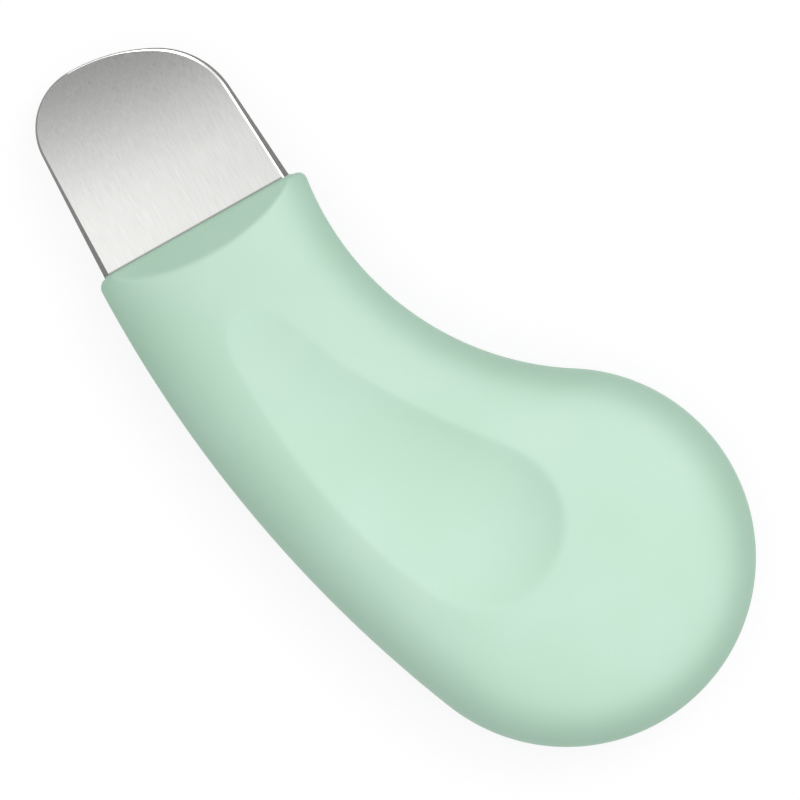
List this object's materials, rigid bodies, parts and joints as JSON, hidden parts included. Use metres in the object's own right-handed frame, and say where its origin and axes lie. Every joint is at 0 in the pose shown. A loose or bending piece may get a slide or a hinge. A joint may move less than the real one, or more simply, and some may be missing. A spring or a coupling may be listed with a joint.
{
  "type": "blackhead extractor",
  "caption": "Hand-held blackhead extractor: a comma-shaped moulded handle with a finger recess holds a short brushed steel spatula blade with a skewed round edge.",
  "frame": {"origin": "where the upright axis of the round palm end meets the flat back that the tool rests on", "axes": "+X along the blade towards its edge, +Z out of the front with the finger recess, +Y to the side that the back curves out to"},
  "size_m": [0.091, 0.0481, 0.014],
  "materials": {
    "mint_plastic": "moulded, with a fine satin spark texture",
    "blade_steel": "ground along its length, with a bright broken edge"
  },
  "bodies": {
    "root": {"front_shell": "mint_plastic", "rear_shell": "mint_plastic", "blade": "blade_steel"}
  },
  "joints": []
}
